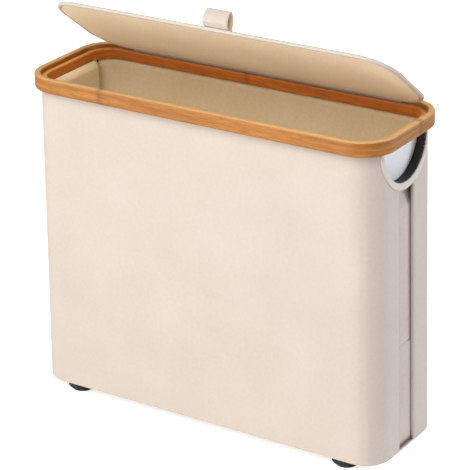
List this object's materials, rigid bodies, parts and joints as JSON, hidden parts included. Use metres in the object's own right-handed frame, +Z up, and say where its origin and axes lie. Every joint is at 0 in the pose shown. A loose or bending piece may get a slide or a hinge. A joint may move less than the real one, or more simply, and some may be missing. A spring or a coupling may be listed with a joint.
{
  "type": "lidded storage basket",
  "caption": "Slim lidded storage basket for toilet rolls: cloth over board walls, bamboo rim, cloth-hinged lid with a pull loop, handle cut-outs at both ends and small round feet.",
  "frame": {"origin": "on the floor, under the middle of the basket", "axes": "+X along the length towards the end with the slot, +Y from the front to the hinge side, +Z up"},
  "size_m": [0.445, 0.15, 0.4756],
  "materials": {
    "bamboo": "satin lacquer",
    "cover_cloth": "coated woven cloth",
    "lining_cloth": "plain non-woven cloth",
    "lid_lining_cloth": "plain woven cloth",
    "edge_band": "folded tape",
    "wall_board": "grey-brown fibreboard",
    "black_plastic": "matt moulded",
    "steel_brads": "plain",
    "steel_screws": "zinc plated"
  },
  "bodies": {
    "basket": {"outer_rim": "bamboo", "inner_rim": "bamboo", "rim_pins": "steel_brads", "outer_cover": "cover_cloth", "front_board": "wall_board", "back_board": "wall_board", "front_lining": "lining_cloth", "back_lining": "lining_cloth", "end_panel_left": "lining_cloth", "end_panel_right": "lining_cloth", "handle_binding_left": "edge_band", "handle_binding_right": "edge_band", "handle_insert_left": "black_plastic", "handle_insert_right": "black_plastic", "base_board": "wall_board", "base_cloth": "cover_cloth", "floor_panel": "lining_cloth", "foot_front_left": "black_plastic", "foot_front_right": "black_plastic", "foot_rear_left": "black_plastic", "foot_rear_right": "black_plastic", "foot_screws": "steel_screws", "hinge_cloth": "cover_cloth"},
    "lid": {"lid_board": "wall_board", "lid_cover": "cover_cloth", "lid_lining": "lid_lining_cloth", "lid_tab": "cover_cloth"}
  },
  "joints": [
    {"name": "lid_hinge", "type": "hinge", "parent": "basket", "child": "lid", "pos_m": [0, 0.0673, 0.3775], "axis": [-1, 0, 0], "range_deg": [-37.5, 52.5]}
  ]
}
